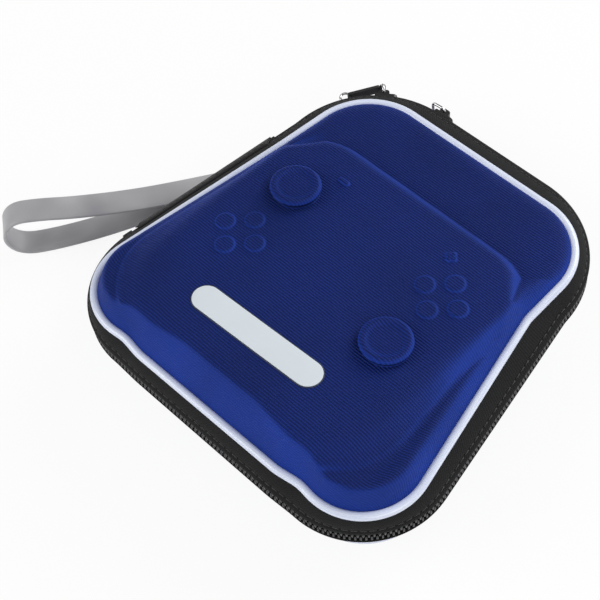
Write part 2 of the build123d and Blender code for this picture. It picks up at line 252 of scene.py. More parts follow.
outlines = {  # corner x, corner y and radius, clockwise from the far right corner
    "zip": mirrored([
        (65.0, 77.4, 40.0), (66.4, 38.0, 12.0), (84.5, -80.5, 33.5), (44.0, -80.5, 60.0), (33.0, -81.0, 60.0),
    ]),
    "piping": [
        (59.3, 67.4, 25.0), (59.2, 24.2, 12.0), (79.7, -78.9, 23.2), (43.3, -74.3, 16.4),
        (34.1, -75.8, 20.0), (-32.8, -76.3, 20.0), (-41.5, -75.1, 17.0), (-75.5, -78.5, 22.6),
        (-60.0, 24.4, 11.0), (-54.6, 67.6, 25.8),
    ],
    "plateau": [
        (54.0, 31.0, 16.0), (50.3, -12.0, 60.0), (48.5, -61.0, 18.0),
        (-50.0, -61.0, 18.0), (-50.8, -12.0, 60.0), (-50.5, 31.5, 18.0),
    ],
}


def cornerRuns(name, inset):
    # where each bend starts, its centre, its angle and its radius
    corners = outlines[name]
    points = [Vector((x, y)) for x, y, _ in corners]
    count = len(points)
    along = [(points[(i + 1) % count] - points[i]).normalized() for i in range(count)]
    runs = []
    for i, (_, _, radius) in enumerate(corners):
        before, after = along[i - 1], along[i]
        turn = before.cross(after)
        angle = math.acos(max(-1.0, min(1.0, before.dot(after))))
        inward = Vector((before.y, -before.x)) + Vector((after.y, -after.x))
        corner = points[i] + inward * (inset / (1 + before.dot(after)))
        bend = radius - inset if turn < 0 else radius + inset
        start = corner - before * (bend * math.tan(angle / 2))
        side = Vector((before.y, -before.x)) if turn < 0 else Vector((-before.y, before.x))
        runs.append((start, start + side * bend, angle if turn > 0 else -angle, bend))
    return runs


def bendPoint(run, share):
    start, centre, angle, _ = run
    return centre + Matrix.Rotation(angle * share, 2) @ (start - centre)


def stepCounts(name, step):
    runs = cornerRuns(name, 0.0)
    counts = []
    for run, after in zip(runs, runs[1:] + runs[:1]):
        gap = (after[0] - bendPoint(run, 1)).length
        counts.append((max(2, round(abs(run[2]) * run[3] / step)), max(1, round(gap / step))))
    return counts


def loopPoints(name, inset):
    runs = cornerRuns(name, inset)
    points = []
    for run, after, (arcSteps, lineSteps) in zip(runs, runs[1:] + runs[:1], loopSteps[name]):
        points += [bendPoint(run, k / arcSteps) for k in range(arcSteps)]
        points += [bendPoint(run, 1).lerp(after[0], k / lineSteps) for k in range(lineSteps)]
    return points


def insideDistance(points, polygon):
    # distance in from a closed line, below zero outside it
    p = np.array([tuple(v)[:2] for v in points], float)
    a = np.array([tuple(v) for v in polygon], float)
    tiny = 1e-12
    best = np.full(len(p), np.inf)
    inside = np.zeros(len(p), bool)
    for start, end in zip(a, np.roll(a, -1, axis=0)):
        run = end - start
        t = np.clip(((p - start) @ run) / max(run @ run, tiny), 0, 1)
        best = np.minimum(best, np.hypot(*(p - start - t[:, None] * run).T))
        crosses = (start[1] > p[:, 1]) != (end[1] > p[:, 1])
        rise = run[1] if abs(run[1]) > tiny else tiny
        inside ^= crosses & (p[:, 0] < start[0] + run[0] * (p[:, 1] - start[1]) / rise)
    return np.where(inside, best, -best)


seamSteps = stepCounts("zip", 1.6)  # the zip and the piping have the same steps, so that bands join them
loopSteps = {"zip": seamSteps, "piping": seamSteps, "plateau": stepCounts("plateau", 1.4)}
pipingLine = loopPoints("piping", 0.0)
plateauLine = loopPoints("plateau", 0.0)

# heights of the moulded lid and of the base, mm

lid = {
    "seam": (9.0, -0.027),  # height over the zipper at y 0 and its slope, as for the panel and the plateau
    "panel": (15.4, -0.085),
    "plateau": (20.9, -0.093),
    "wall": 3.0,
    "seamInset": 1.25,
    "seamLift": 0.75,
    "panelShoulder": 6.0,
    "panelPower": 0.72,
    "plateauWall": (5.4, 12.5),  # at the far end and at the handle end, as for the next two
    "wallEase": (0.25, 1.0),
    "footBlend": (2.6, 4.5),
    "wallPower": 1.6,
    "wallFall": 2.5,
    "frontSpan": (20.0, -60.0),
    "frontRoll": 13.0,
    "frontPast": 12.0,
    "frontY": (50.0, 12.0),  # where a change starts and how long it is, as for the next two
    "frontX": (16.0, 34.0),
    "waveFade": (1.0, 6.0),
    "steepest": 2.4,
    "middle": (0.0, -14.0),
    "crown": 0.35,
    "crownReach": 25.0,
    "crownPower": 0.7,
    "wave": 0.16,
    "waveScale": 0.035,
}
baseForm = {"seamDrop": 9.0, "shoulder": 12.0, "wall": 3.0, "cornerLift": 0.75}
seams = {True: lid["seam"], False: (-baseForm["seamDrop"], 0.0)}


def tiltedHeight(level, y):
    return zipPlane + level[0] + level[1] * y


def atLevel(points, level, rise=0.0):
    # points in plan raised to a tilted level, in metres
    return [Vector((p.x, p.y, tiltedHeight(level, p.y) + rise)) * mm for p in points]


def seamRing(inset, up, rise=0.0):
    return atLevel(loopPoints("piping", inset), seams[up], rise)


def panelHeight(y, pipingIn):
    seam = tiltedHeight(lid["seam"], y) + lid["seamLift"]
    share = np.clip((pipingIn - lid["seamInset"]) / lid["panelShoulder"], 0, 1)
    return seam + (tiltedHeight(lid["panel"], y) - seam) * (1 - (1 - share) ** 2) ** lid["panelPower"]


def smoothStep(share):
    share = np.clip(share, 0, 1)
    return share * share * (3 - 2 * share)


def smoothFrom(value, span):
    return smoothStep((value - span[0]) / span[1])


def towardFront(pair, y):
    # a value that changes from the far end to the handle end
    start, end = lid["frontSpan"]
    return pair[0] + (pair[1] - pair[0]) * smoothStep((y - start) / (end - start))


def plateauHeight(y, topIn):
    top, foot = tiltedHeight(lid["plateau"], y), tiltedHeight(lid["panel"], y)
    wall = towardFront(lid["plateauWall"], y)
    share = np.clip(-topIn / wall, 0, 1)
    rolled = 1 - np.sqrt(np.clip(1 - share ** 2, 0, 1))
    eased = rolled + (share ** lid["wallPower"] - rolled) * towardFront(lid["wallEase"], y)
    crown = lid["crown"] * np.clip(topIn / lid["crownReach"], 0, 1) ** lid["crownPower"]
    return top + crown - (top - foot) * eased - np.clip(-topIn - wall, 0, None) * lid["wallFall"]


def softMax(a, b, blend):
    h = np.clip(blend - np.abs(a - b), 0, None) / blend
    return np.maximum(a, b) + h * h * blend / 4


def waveAt(point):
    spot = Vector((point.x * lid["waveScale"], point.y * lid["waveScale"], 0.7))
    return lid["wave"] * (noise.noise(spot) + 0.4 * noise.noise(spot * 2.7))


def lidHeights(points):
    # panel and plateau melted together, then held under the steepest skirt, or a rolled one at the front
    x, y = np.array([tuple(p) for p in points]).T
    pipingIn = insideDistance(points, pipingLine)
    plateau = plateauHeight(y, insideDistance(points, plateauLine))
    heights = softMax(panelHeight(y, pipingIn), plateau, towardFront(lid["footBlend"], y))
    seam = tiltedHeight(lid["seam"], y) + lid["seamLift"]
    past = pipingIn - lid["seamInset"]
    steep = seam + np.clip(past, 0, None) * lid["steepest"]
    share = np.clip(past / lid["frontRoll"], 0, 1)
    rolled = seam + (tiltedHeight(lid["plateau"], y) + lid["crown"] - seam) * (1 - (1 - share) ** 2)
    rolled = rolled + np.clip(pipingIn - lid["frontPast"], 0, None)
    front = smoothFrom(-y, lid["frontY"]) * (1 - smoothFrom(np.abs(x), lid["frontX"]))
    heights = np.minimum(heights, steep + (rolled - steep) * front)
    start, length = lid["waveFade"]
    return heights + np.array([waveAt(p) for p in points]) * np.clip((pipingIn - start) / length, 0, 1)


def lift(points, rise=0.0):
    # points in plan raised to the lid's surface, in metres
    return [Vector((p.x, p.y, z + rise)) * mm for p, z in zip(points, lidHeights(points))]


def plateauPoints(points):
    # where the line from the lid's middle to each point crosses the plateau's outline
    middle = Vector(lid["middle"])
    near, far = np.zeros(len(points)), np.ones(len(points))
    for _ in range(22):
        half = (near + far) / 2
        within = insideDistance([middle.lerp(p, s) for p, s in zip(points, half)], plateauLine) > 0
        near, far = np.where(within, half, near), np.where(within, far, half)
    return [middle.lerp(p, s) for p, s in zip(points, near)]


lidSteps = {
    "foot": ((2.3, -0.9), (1.6, -0.6), (1.3, 0.1)),
    "fromPiping": (0.0, 0.12, 0.3, 0.55, 0.85, 1.2, 1.65, 2.2, 2.85, 3.6, 4.4, 5.3, 6.3),
    "fromPlateau": (13.0, 11.7, 10.5, 9.4, 8.4, 7.5, 6.7, 6.0, 5.4, 4.8, 4.3, 3.8, 3.2, 2.5, 1.7, 0.8, 0.0),
    "filled": 0.96,
    "between": (0.2, 0.4, 0.6, 0.8),
    "inner": (0.975, 0.945, 0.905, 0.85, 0.78, 0.7, 0.61, 0.52, 0.42, 0.32, 0.22, 0.12, 0.04),
}


def lidSkin(inner):
    # rings out along the inner wall, round the foot, over the panel and the plateau to the middle
    first, last = lidSteps["fromPiping"], lidSteps["fromPlateau"]
    outer = loopPoints("piping", lid["seamInset"] + 0.02)
    crossings = plateauPoints(outer)
    gaps = [(q - p).length for p, q in zip(outer, crossings)]
    fits = [min(1.0, lidSteps["filled"] * gap / (first[-1] + last[0])) for gap in gaps]
    places = [[step * fit for gap, fit in zip(gaps, fits)] for step in first]
    for share in lidSteps["between"]:
        spans = [(first[-1] * fit, gap - last[0] * fit) for gap, fit in zip(gaps, fits)]
        places.append([start + (end - start) * share for start, end in spans])
    places += [[gap - step * fit for gap, fit in zip(gaps, fits)] for step in last]
    rings = inner[::-1] + [seamRing(inset, True, rise) for inset, rise in lidSteps["foot"]]
    for row in places:
        rings.append(lift([p.lerp(q, far / gap) for p, q, far, gap in zip(outer, crossings, row, gaps)]))
    middle = Vector(lid["middle"])
    rings += [lift([middle.lerp(p, share) for p in crossings]) for share in lidSteps["inner"]]
    return skinRings(rings)


# ribs that keep their pitch on the slopes

clothGrid = {"x": (-86.0, 86.1, 2.0), "y": (-86.0, 76.1, 1.0)}  # start, end and step, mm
# slopes where the painted highlight starts and fades, and where the painted shade on undercut walls starts
paintedShadingSlopes = {"paintedSlopeShading": (0.0, 0.3), "back": (0.66, 0.16), "paintedUndercutShade": (0.8, 0.2)}


def clothMap():
    # lengths over the moulded surface along X and along Y
    xs, ys = (np.arange(*clothGrid[axis]) for axis in "xy")
    heights = lidHeights([Vector((x, y)) for x in xs for y in ys]).reshape(len(xs), len(ys))
    heights = np.clip(heights, zipPlane + lid["seam"][0], None)
    overX = np.hypot(clothGrid["x"][2], np.diff(heights, axis=0))
    overY = np.hypot(clothGrid["y"][2], np.diff(heights, axis=1))
    u = np.concatenate([np.zeros((1, len(ys))), np.cumsum(overX, axis=0)])
    v = np.concatenate([np.zeros((len(xs), 1)), np.cumsum(overY, axis=1)], axis=1)
    middleX = int(np.argmin(np.abs(xs - lid["middle"][0])))
    middleY = int(np.argmin(np.abs(ys - lid["middle"][1])))
    return xs, ys, u - u[middleX:middleX + 1], v - v[:, middleY:middleY + 1]


def spreadOnMap(bm, maps):
    xs, ys, u, v = maps
    layer = bm.loops.layers.uv.active
    places = {}
    for vert in bm.verts:
        a = min(max((vert.co.x / mm - xs[0]) / clothGrid["x"][2], 0), len(xs) - 1.001)
        b = min(max((vert.co.y / mm - ys[0]) / clothGrid["y"][2], 0), len(ys) - 1.001)
        i, k = int(a), int(b)
        a, b = a - i, b - k
        shares = ((0, 0, (1 - a) * (1 - b)), (1, 0, a * (1 - b)), (0, 1, (1 - a) * b), (1, 1, a * b))
        places[vert] = Vector([sum(m[i + di, k + dk] * w for di, dk, w in shares) * mm for m in (u, v)])
    for face in bm.faces:
        for loop in face.loops:
            loop[layer].uv = places[loop.vert]


def markPaintedSlopeShading(bm):
    # painted light and shade by slope, kept in the 'stretch' attribute: above zero a painted highlight on
    # sloped cloth, below zero painted shade on undercut walls
    bm.normal_update()
    layer = bm.verts.layers.float.new("stretch")
    for vert in bm.verts:
        slope = 1 - vert.normal.z * (1 if vert.co.z > zipPlane * mm else -1)
        paintedSlopeShading = smoothFrom(slope, paintedShadingSlopes["paintedSlopeShading"]) * (1 - smoothFrom(slope, paintedShadingSlopes["back"]))
        vert[layer] = float(paintedSlopeShading - smoothFrom(slope, paintedShadingSlopes["paintedUndercutShade"]))


# raised sticks, buttons and marks on the lid, mm

relief = {  # a profile is a radius and a rise at each of its rings
    "sticks": [(-34.4, 6.4), (34.4, -21.3)],
    "stickProfile": [
        (1.5, 3.0), (4.2, 3.03), (5.6, 3.12), (6.3, 3.35), (6.9, 3.72), (7.5, 3.95), (8.1, 3.98), (8.7, 3.75),
        (9.2, 3.3), (9.5, 2.7), (9.6, 2.1), (9.45, 1.5), (9.1, 0.95), (8.8, 0.5), (8.75, 0.2), (8.9, 0.04),
        (9.3, -0.06),
    ],
    "stickSides": 72,
    "diamonds": [(-35.3, -21.5), (35.3, 6.0)],
    "buttonSpacing": 7.5,
    "buttonProfile": [
        (0.9, 0.85), (1.8, 0.88), (2.4, 0.94), (2.8, 0.92), (3.2, 0.78),
        (3.5, 0.54), (3.75, 0.3), (4.0, 0.12), (4.35, 0.02), (4.7, -0.06),
    ],
    "buttonSides": 36,
    "minus": (-24.1, 20.9),
    "plus": (26.7, 21.3),
    "markLength": 4.4,
    "markProfile": [(0.25, 0.85), (0.55, 0.82), (0.8, 0.62), (1.0, 0.32), (1.25, 0.08), (1.6, -0.06)],
    "root": 1.0,
}


def unit(angle):
    return Vector((math.cos(angle), math.sin(angle)))


def stadium(centre, turn, half, radius, arcSteps, lineSteps=1):
    # a closed line with two round ends
    ring = []
    for side, start in ((half, turn - math.pi / 2), (-half, turn + math.pi / 2)):
        tip, other = (Vector(centre) + unit(turn) * reach for reach in (side, -side))
        ring += [tip + unit(start + math.pi * k / arcSteps) * radius for k in range(arcSteps + 1)]
        over = unit(start + math.pi) * radius
        ring += [(tip + over).lerp(other + over, k / lineSteps) for k in range(1, lineSteps)]
    return ring


def raisedSkin(ringAt, profile):
    rings = [lift(ringAt(radius), rise) for radius, rise in profile]
    rings.append([p - Vector((0, 0, relief["root"] * mm)) for p in rings[-1]])
    return skinRings(rings)


def moundSkin(centre, profile, sides):
    def ringAt(radius):
        return [Vector(centre) + unit(math.tau * k / sides) * radius for k in range(sides)]
    return raisedSkin(ringAt, profile)


def barSkin(centre, turn):
    profile = relief["markProfile"]
    half = relief["markLength"] / 2 - profile[2][0]
    return raisedSkin(lambda radius: stadium(centre, turn, half, radius, 10), profile)


def reliefSkins():
    skins = [moundSkin(place, relief["stickProfile"], relief["stickSides"]) for place in relief["sticks"]]
    for x, y in relief["diamonds"]:
        for dx, dy in ((0, 1), (1, 0), (0, -1), (-1, 0)):
            place = (x + dx * relief["buttonSpacing"], y + dy * relief["buttonSpacing"])
            skins.append(moundSkin(place, relief["buttonProfile"], relief["buttonSides"]))
    marks = ((relief["minus"], 0.0), (relief["plus"], 0.0), (relief["plus"], math.pi / 2))
    return skins + [barSkin(place, turn) for place, turn in marks]


# node groups and materials


def newGroup(name, results, **numbers):
    # a group that takes a vector and some numbers
    tree = bpy.data.node_groups.new(name, "ShaderNodeTree")
    tree.interface.new_socket(name="Vector", in_out="INPUT", socket_type="NodeSocketVector")
    for label, value in numbers.items():
        socket = tree.interface.new_socket(name=label, in_out="INPUT", socket_type="NodeSocketFloat")
        socket.default_value = value
    for label in results:
        tree.interface.new_socket(name=label, in_out="OUTPUT", socket_type="NodeSocketFloat")
    return tree, tree.nodes.new("NodeGroupInput").outputs, tree.nodes.new("NodeGroupOutput").inputs


def inMillimetres(tree, vector):
    # a place given in metres, as one vector and as its X and Y
    scaled = addNode(tree, "VectorMath")
    scaled.operation = "SCALE"
    feed(tree, 1000.0, scaled.inputs["Scale"])
    feed(tree, vector, scaled.inputs[0])
    split = addNode(tree, "SeparateXYZ")
    feed(tree, scaled.outputs[0], split.inputs[0])
    return scaled.outputs[0], split.outputs["X"], split.outputs["Y"]


def ribGroup():
    # cords of yarn side by side along X, with finer threads across them
    tree, given, made = newGroup("ribbedYarn", ("Height", "Valley", "Fleck"), Pitch=0.85, Unevenness=0.25)
    maths = partial(mathNode, tree)
    place, x, y = inMillimetres(tree, given["Vector"])
    sway = maths("SUBTRACT", noiseNode(tree, place, 0.09, 1.0), 0.5)
    swayed = maths("MULTIPLY_ADD", sway, given["Unevenness"], y)
    turns = maths("DIVIDE", swayed, given["Pitch"])
    ridge = maths("MULTIPLY_ADD", maths("COSINE", maths("MULTIPLY", turns, math.tau)), 0.5, 0.5)
    threads = maths("COSINE", maths("MULTIPLY", x, math.tau / 0.42))
    threads = maths("MULTIPLY_ADD", threads, 0.12, 0.12)
    total = maths("ADD", maths("MULTIPLY", ridge, 0.8), maths("MULTIPLY", threads, ridge))
    fleck = noiseNode(tree, place, 1.7, 3.0, 0.6)
    feed(tree, maths("ADD", total, maths("MULTIPLY", fleck, 0.22)), made["Height"])
    feed(tree, maths("SUBTRACT", 1.0, ridge), made["Valley"])
    feed(tree, fleck, made["Fleck"])
    return tree


def weaveGroup():
    # over-and-under weave of equal threads on a piece's own map
    tree, given, made = newGroup("plainWeave", ("Height", "Fleck"), Pitch=0.5, Stretch=1.0)
    maths = partial(mathNode, tree)
    place, x, y = inMillimetres(tree, given["Vector"])
    tall = maths("MULTIPLY", given["Pitch"], given["Stretch"])
    u = maths("MULTIPLY", maths("DIVIDE", x, given["Pitch"]), math.pi)
    v = maths("MULTIPLY", maths("DIVIDE", y, tall), math.pi)
    over = maths("MULTIPLY", maths("SINE", u), maths("SINE", v))
    fleck = noiseNode(tree, place, 1.1, 3.0, 0.65)
    rise = maths("ADD", maths("MULTIPLY_ADD", over, 0.5, 0.5), maths("MULTIPLY", fleck, 0.35))
    feed(tree, rise, made["Height"])
    feed(tree, fleck, made["Fleck"])
    return tree


def patinaGroup():
    # slow drift of tone over a surface, with a little fine dust
    tree, given, made = newGroup("toneDrift", ("Drift", "Dust"), Size=0.03, Fine=0.002)
    for size, result, detail, rough in (("Size", "Drift", 2.0, 0.5), ("Fine", "Dust", 4.0, 0.7)):
        scale = mathNode(tree, "DIVIDE", 1.0, given[size])
        feed(tree, noiseNode(tree, given["Vector"], scale, detail, rough), made[result])
    return tree


ribbedYarn, plainWeave, toneDrift = ribGroup(), weaveGroup(), patinaGroup()


class Finish:
    # a material with one Principled shader, and short ways to wire it
    def __init__(self, name, **values):
        self.material = bpy.data.materials.new(name)
        self.material.use_nodes = True
        self.tree = self.material.node_tree
        self.shader = next(n for n in self.tree.nodes if n.type == "BSDF_PRINCIPLED")
        for label, value in values.items():
            self.wire(value, label.replace("_", " "))
        self.where = addNode(self.tree, "TexCoord").outputs

    def wire(self, value, label):
        feed(self.tree, value, self.shader.inputs[label])

    def close(self, tone, rough, height, strength, depth, under=None):
        # the last wires, the same in each material: colour, roughness and relief
        self.wire(tone, "Base Color")
        self.wire(rough, "Roughness")
        self.wire(self.bump(height, strength, depth, under), "Normal")
        return self.material

    def group(self, tree, vector, **values):
        node = self.tree.nodes.new("ShaderNodeGroup")
        node.node_tree = tree
        for label, value in dict(values, Vector=self.where[vector]).items():
            feed(self.tree, value, node.inputs[label])
        return node.outputs

    def mixColour(self, share, first, second):
        node = self.tree.nodes.new("ShaderNodeMix")
        node.data_type = "RGBA"
        feed(self.tree, share, node.inputs["Factor"])
        feed(self.tree, first, node.inputs[6])
        feed(self.tree, second, node.inputs[7])
        return node.outputs[2]

    def spread(self, value, low, high, fromLow=0.0, fromHigh=1.0):
        node = addNode(self.tree, "MapRange", Value=value, From_Min=fromLow, From_Max=fromHigh,
                       To_Min=low, To_Max=high)
        return node.outputs["Result"]

    def patches(self, drift, first, second, most=1.0, low=0.35, high=0.7):
        # the first colour with soft patches of the second, shared out by the drift
        return self.mixColour(self.spread(drift["Drift"], 0.0, most, low, high), first, second)

    def bump(self, height, strength, distance, under=None):
        node = addNode(self.tree, "Bump", Height=height, Strength=strength, Distance=distance)
        if under:
            feed(self.tree, under, node.inputs["Normal"])
        return node.outputs["Normal"]


clothBlue = {
    "deep": (0.0028, 0.0104, 0.074),
    "lit": (0.0076, 0.0272, 0.220),
    # colour of the painted highlight on sloped cloth, and how much of it is mixed in
    "paintedSlopeHighlight": (0.0190, 0.0640, 0.440),
    "paintedHighlightShare": 0.5,
    "flattened": 0.7,
    # colour of the painted shade on undercut walls, such as under the sticks' rims
    "paintedUndercutShade": (0.0010, 0.0030, 0.0180),
    "pitch": 1.0,
    "ribDepth": 0.0004,
    "sheen": 0.06,
    "sheenTint": (0.12, 0.26, 1.0),
}


def blueCloth():
    f = Finish("navyRibCloth", Roughness=0.62, Sheen_Weight=clothBlue["sheen"], Sheen_Roughness=0.42,
               Sheen_Tint=clothBlue["sheenTint"], Specular_IOR_Level=0.12)
    maths = partial(mathNode, f.tree)
    ribs = f.group(ribbedYarn, "UV", Pitch=clothBlue["pitch"], Unevenness=0.9)
    drift = f.group(toneDrift, "Object", Size=0.035, Fine=0.0009)
    # the 'stretch' attribute holds painted slope shading; the rib ridges get a painted highlight on slopes
    paintedSlopeShading = addNode(f.tree, "Attribute")
    paintedSlopeShading.attribute_name = "stretch"
    paintedSlopeShading = paintedSlopeShading.outputs["Fac"]
    paintedHighlightMix = f.spread(paintedSlopeShading, 0.0, clothBlue["paintedHighlightShare"])
    ridge = f.mixColour(paintedHighlightMix, clothBlue["lit"], clothBlue["paintedSlopeHighlight"])
    flatter = maths("MULTIPLY_ADD", maths("ABSOLUTE", paintedSlopeShading), -clothBlue["flattened"], 1.0)
    yarn = f.mixColour(maths("MULTIPLY", ribs["Valley"], flatter), ridge, clothBlue["deep"])
    # painted shade: the cloth turns dark where the 'stretch' attribute is below zero, on undercut walls
    yarn = f.mixColour(f.spread(paintedSlopeShading, 0.0, 0.8, 0.0, -1.0), yarn, clothBlue["paintedUndercutShade"])
    height, fine = maths("MULTIPLY", ribs["Height"], flatter), f.bump(drift["Dust"], 0.25, 0.0001)
    return f.close(f.patches(drift, yarn, clothBlue["deep"], 0.35), f.spread(ribs["Fleck"], 0.55, 0.72),
                   height, 0.8, clothBlue["ribDepth"], fine)


def wovenFinish(name, deep, lit, pitch, depth, rough, sheen, stretch=1.0, vector="UV"):
    f = Finish(name, Roughness=rough, Sheen_Weight=sheen, Sheen_Roughness=0.5, Specular_IOR_Level=0.22)
    weave = f.group(plainWeave, vector, Pitch=pitch, Stretch=stretch)
    drift = f.group(toneDrift, "Object", Size=0.02, Fine=0.0012)
    tone = f.mixColour(f.spread(weave["Height"], 0.0, 1.0, 0.2, 1.1), deep, lit)
    shine = f.spread(weave["Fleck"], rough - 0.08, rough + 0.08)
    return f.close(f.patches(drift, tone, deep, 0.3), shine, weave["Height"], 0.7, depth)


def glossyPiping():
    # bright cord with long fine streaks
    f = Finish("whitePiping", Roughness=0.24, Coat_Weight=0.35, Coat_Roughness=0.12, Specular_IOR_Level=0.5)
    stretch = addNode(f.tree, "Mapping", Vector=f.where["UV"], Scale=(60.0, 2600.0, 1.0))
    streak = noiseNode(f.tree, stretch.outputs[0], 1.0)
    drift = f.group(toneDrift, "Object", Size=0.02, Fine=0.0008)
    tone = f.mixColour(f.spread(streak, 0.0, 1.0, 0.3, 0.75), (0.66, 0.72, 0.92), (0.82, 0.87, 0.98))
    tone = f.patches(drift, tone, (0.72, 0.78, 0.95), 0.25, 0.4, 0.75)
    return f.close(tone, f.spread(drift["Dust"], 0.2, 0.34), streak, 0.25, 0.00008)


def satinRibbon():
    f = Finish("greyRibbon", Roughness=0.42, Sheen_Weight=0.2, Sheen_Roughness=0.4, Specular_IOR_Level=0.4)
    weave = f.group(plainWeave, "UV", Pitch=0.32, Stretch=1.6)
    drift = f.group(toneDrift, "Object", Size=0.03, Fine=0.0012)
    tone = f.patches(drift, (0.28, 0.28, 0.295), (0.49, 0.485, 0.50), 1.0, 0.3, 0.75)
    return f.close(tone, f.spread(drift["Dust"], 0.34, 0.5), weave["Height"], 0.3, 0.00006)


def plainFinish(name, colour, rough, dustLow=0.85, metallic=0.0, coat=0.0, sheen=0.0):
    f = Finish(name, Roughness=rough, Metallic=metallic, Coat_Weight=coat, Coat_Roughness=0.2,
               Sheen_Weight=sheen)
    drift = f.group(toneDrift, "Object", Size=0.012, Fine=0.0006)
    tone = f.patches(drift, colour, tuple(c * dustLow for c in colour))
    shine = f.spread(drift["Dust"], rough * 0.85, min(1.0, rough * 1.2))
    return f.close(tone, shine, drift["Dust"], 0.3, 0.00003)


def netFinish():
    # open net: squarish holes on a flat grid, cut by alpha
    f = Finish("blackNet", Roughness=0.7, Sheen_Weight=0.1)
    dots = addNode(f.tree, "TexVoronoi", Vector=f.where["Object"], Scale=480.0, Randomness=0.15)
    dots.voronoi_dimensions = "2D"
    dots.feature = "DISTANCE_TO_EDGE"
    edge = dots.outputs["Distance"]
    f.wire(mathNode(f.tree, "LESS_THAN", edge, 0.16), "Alpha")
    tone = f.mixColour(f.spread(edge, 0.0, 1.0, 0.0, 0.2), (0.03, 0.03, 0.032), (0.01, 0.01, 0.011))
    f.wire(tone, "Base Color")
    f.wire(f.bump(edge, 0.5, 0.0002), "Normal")
    return f.material


inky = (0.005, 0.005, 0.0055)
finishes = {
    "blue": blueCloth(),
    "piping": glossyPiping(),
    "band": wovenFinish("blackBandCloth", (0.003, 0.003, 0.0033), (0.0120, 0.0123, 0.0138),
                        0.55, 0.00016, 0.72, 0.03),
    "tape": wovenFinish("blackTape", inky, (0.016, 0.016, 0.017), 0.7, 0.0001, 0.75, 0.1, 0.6, "Object"),
    "tapeOnMap": wovenFinish("blackFoldedTape", inky, (0.018, 0.018, 0.019), 0.6, 0.0001, 0.75, 0.1, 0.6),
    "binding": wovenFinish("blackSeamBinding", inky, (0.020, 0.020, 0.021), 0.6, 0.0001, 0.75, 0.1, 0.5),
    "lining": wovenFinish("blackLining", (0.008, 0.008, 0.009), (0.020, 0.020, 0.022),
                          0.9, 0.00008, 0.8, 0.25, 1.0, "Object"),
    "elastic": wovenFinish("blackElastic", (0.006, 0.006, 0.0065), (0.020, 0.020, 0.021),
                           1.1, 0.0002, 0.7, 0.1, 0.5, "Object"),
    "ribbon": satinRibbon(),
    "teeth": plainFinish("blackNylonTeeth", (0.012, 0.012, 0.013), 0.3),
    "enamel": plainFinish("blackEnamel", (0.012, 0.012, 0.013), 0.32, coat=0.4),
    "metal": plainFinish("brightNickel", (0.72, 0.72, 0.73), 0.16, dustLow=0.9, metallic=1.0),
    "rubber": plainFinish("blackRubberPull", (0.016, 0.016, 0.017), 0.5),
    "label": plainFinish("paleLabel", (0.70, 0.76, 0.81), 0.42, dustLow=0.97),
    "labelEdge": plainFinish("labelEdge", (0.02, 0.03, 0.07), 0.6),
    "thread": plainFinish("blackThread", (0.014, 0.014, 0.015), 0.6, sheen=0.2),
    "net": netFinish(),
}
print("case: finishes made")

placeCamera()
placeLamps()
placeStudio()
print("case: camera and studio placed")

# hand strap, a ribbon folded back on itself, mm

strap = {
    "tabEnd": (-73.95, 2.24),
    "heading": 232.7,
    "width": 10.5,
    "thickness": 1.2,
    "length": 190.0,
    "route": [  # distance out from the tab, and height
        (0.3, 17.65), (14.0, 16.9), (36.0, 16.6), (59.0, 18.9), (72.0, 21.6), (83.7, 22.2), (89.4, 11.4),
        (83.7, 0.7), (69.0, 0.7), (50.0, 3.4), (31.0, 8.2), (13.0, 13.6), (0.5, 16.1),
    ],
}
strapTurn = math.radians(strap["heading"])
strapAcross = Vector((-math.sin(strapTurn), math.cos(strapTurn), 0))


def strapPlace(s, z):
    x, y = strap["tabEnd"]
    return Vector((x + s * math.cos(strapTurn), y + s * math.sin(strapTurn), z)) * mm


def strapLine():
    data = bpy.data.curves.new("strapRoute", "CURVE")
    data.dimensions = "3D"
    data.resolution_u = 10
    spline = data.splines.new("NURBS")
    spline.points.add(len(strap["route"]) - 1)
    for point, (s, z) in zip(spline.points, strap["route"]):
        point.co = (*strapPlace(s, z), 1)
    spline.order_u = 3
    spline.use_endpoint_u = True
    obj = link(bpy.data.objects.new("strapRoute", data))
    bpy.context.view_layer.update()
    mesh = bpy.data.meshes.new_from_object(obj.evaluated_get(bpy.context.evaluated_depsgraph_get()))
    points = [v.co.copy() for v in mesh.vertices]
    bpy.data.meshes.remove(mesh)
    bpy.data.objects.remove(obj)
    return points


def strapRings(line):
    half, thick = strap["width"] / 2 * mm, strap["thickness"] / 2 * mm
    profile = [(1, 0.35), (0.985, 0.8), (0.95, 1.0), (0.55, 0.93), (0, 0.9)]
    profile += [(-a, b) for a, b in profile[3:0:-1]]
    profile += [(-a, -b) for a, b in profile]
    rings = []
    for i, point in enumerate(line):
        ahead = (line[min(i + 1, len(line) - 1)] - line[max(i - 1, 0)]).normalized()
        normal = strapAcross.cross(ahead).normalized()
        rings.append([point + strapAcross * (half * a) + normal * (thick * b) for a, b in profile])
    return rings


strapPath = strapLine()
strapBody = skinRings(strapRings(strapPath))
handStrap = addPiece("handStrap", strapBody, "base", "grey_ribbon", "ribbon", "hand_strap")
routeLength = sum((b - a).length for a, b in zip(strapPath, strapPath[1:])) / mm
print("case: strap made, length", round(routeLength, 1))

# lid and base shells with their linings, mm

